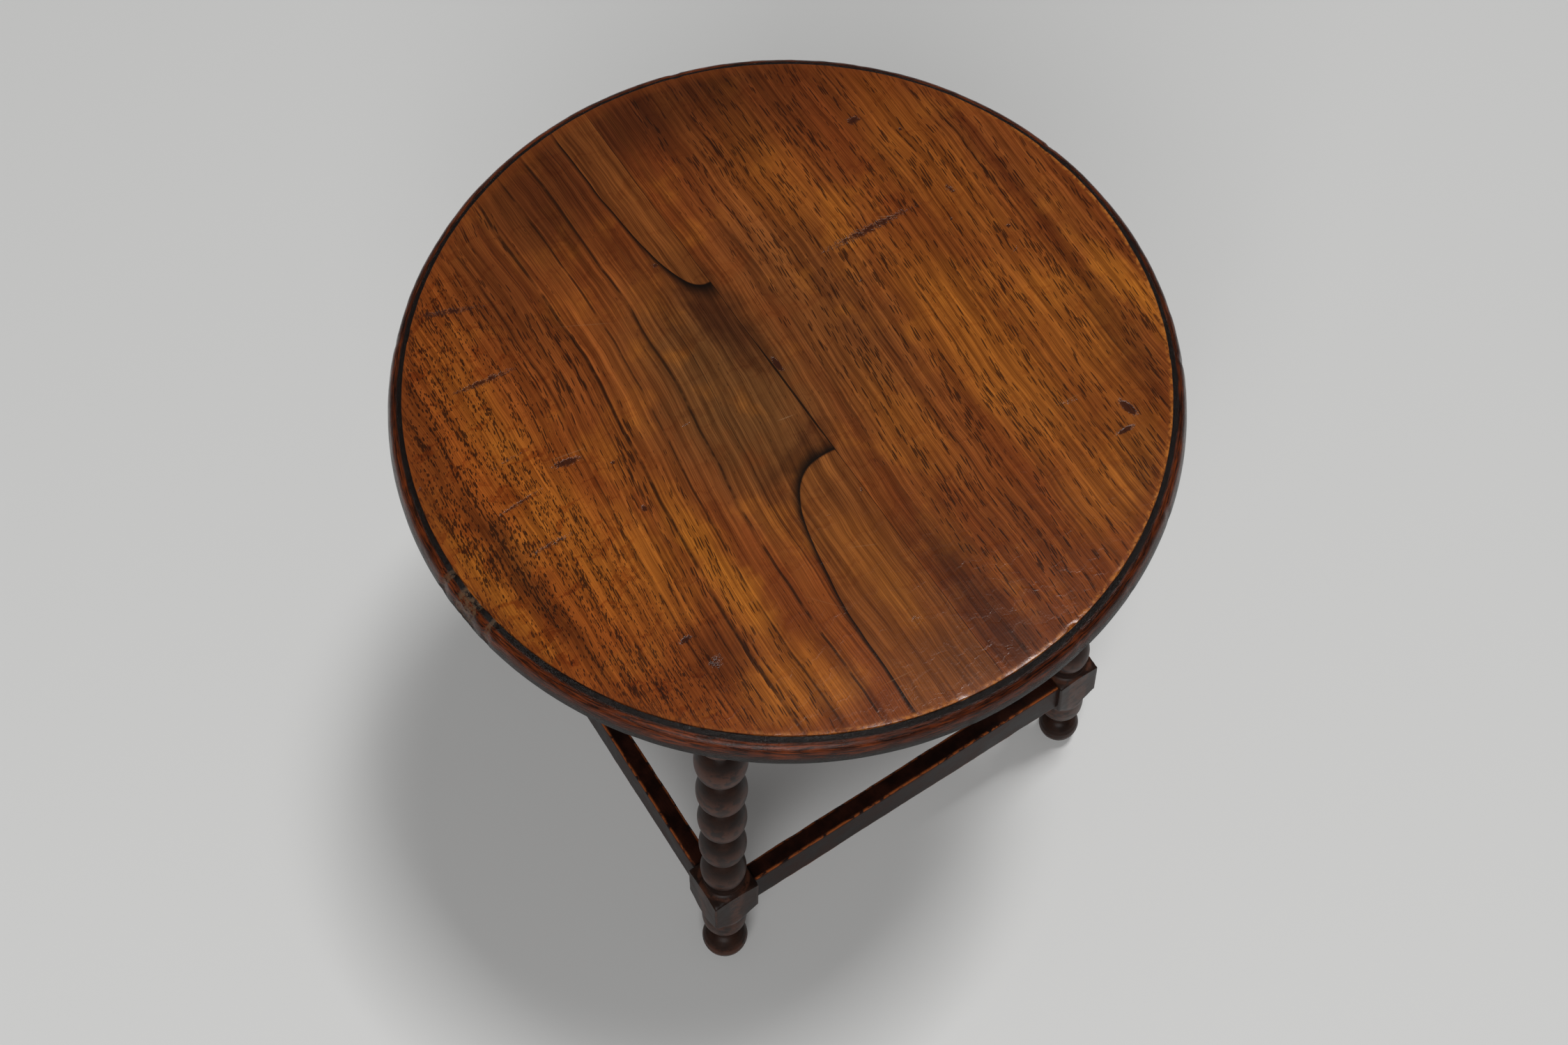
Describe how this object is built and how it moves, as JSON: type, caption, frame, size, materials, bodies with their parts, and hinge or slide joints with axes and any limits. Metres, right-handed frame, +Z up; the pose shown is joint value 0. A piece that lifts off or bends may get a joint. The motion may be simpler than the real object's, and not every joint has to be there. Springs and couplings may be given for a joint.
{
  "type": "round-topped joined stool",
  "caption": "Antique round-topped wooden stool with splayed bobbin-turned legs joined by aprons and low box stretchers, polished worn finish",
  "frame": {"origin": "centre of the base on the floor, below the middle of the round top", "axes": "+Z up from the floor to the seat; +X along the front stretcher to the right; +Y from the front stretcher to the back one"},
  "size_m": [0.453, 0.453, 0.465],
  "materials": {
    "polished_top": "old waxed amber polish, worn",
    "dark_turned": "dark stained satin, worn on the edges",
    "dark_rail": "dark stained satin, arrises rubbed to bare wood",
    "raw_wood": "unfinished, darkened by age",
    "aged_steel": "dull, darkened by age"
  },
  "bodies": {
    "root": {"top_board_left": "polished_top", "top_board_right": "polished_top", "top_dowels": "raw_wood", "leg_front_left": "dark_turned", "leg_front_right": "dark_turned", "leg_back_right": "dark_turned", "leg_back_left": "dark_turned", "apron_front": "dark_rail", "apron_right": "dark_rail", "apron_back": "dark_rail", "apron_left": "dark_rail", "stretcher_front": "dark_rail", "stretcher_right": "dark_rail", "stretcher_back": "dark_rail", "stretcher_left": "dark_rail", "glue_block_front": "raw_wood", "glue_block_right": "raw_wood", "glue_block_back": "raw_wood", "glue_block_left": "raw_wood", "top_screws": "aged_steel"}
  },
  "joints": []
}
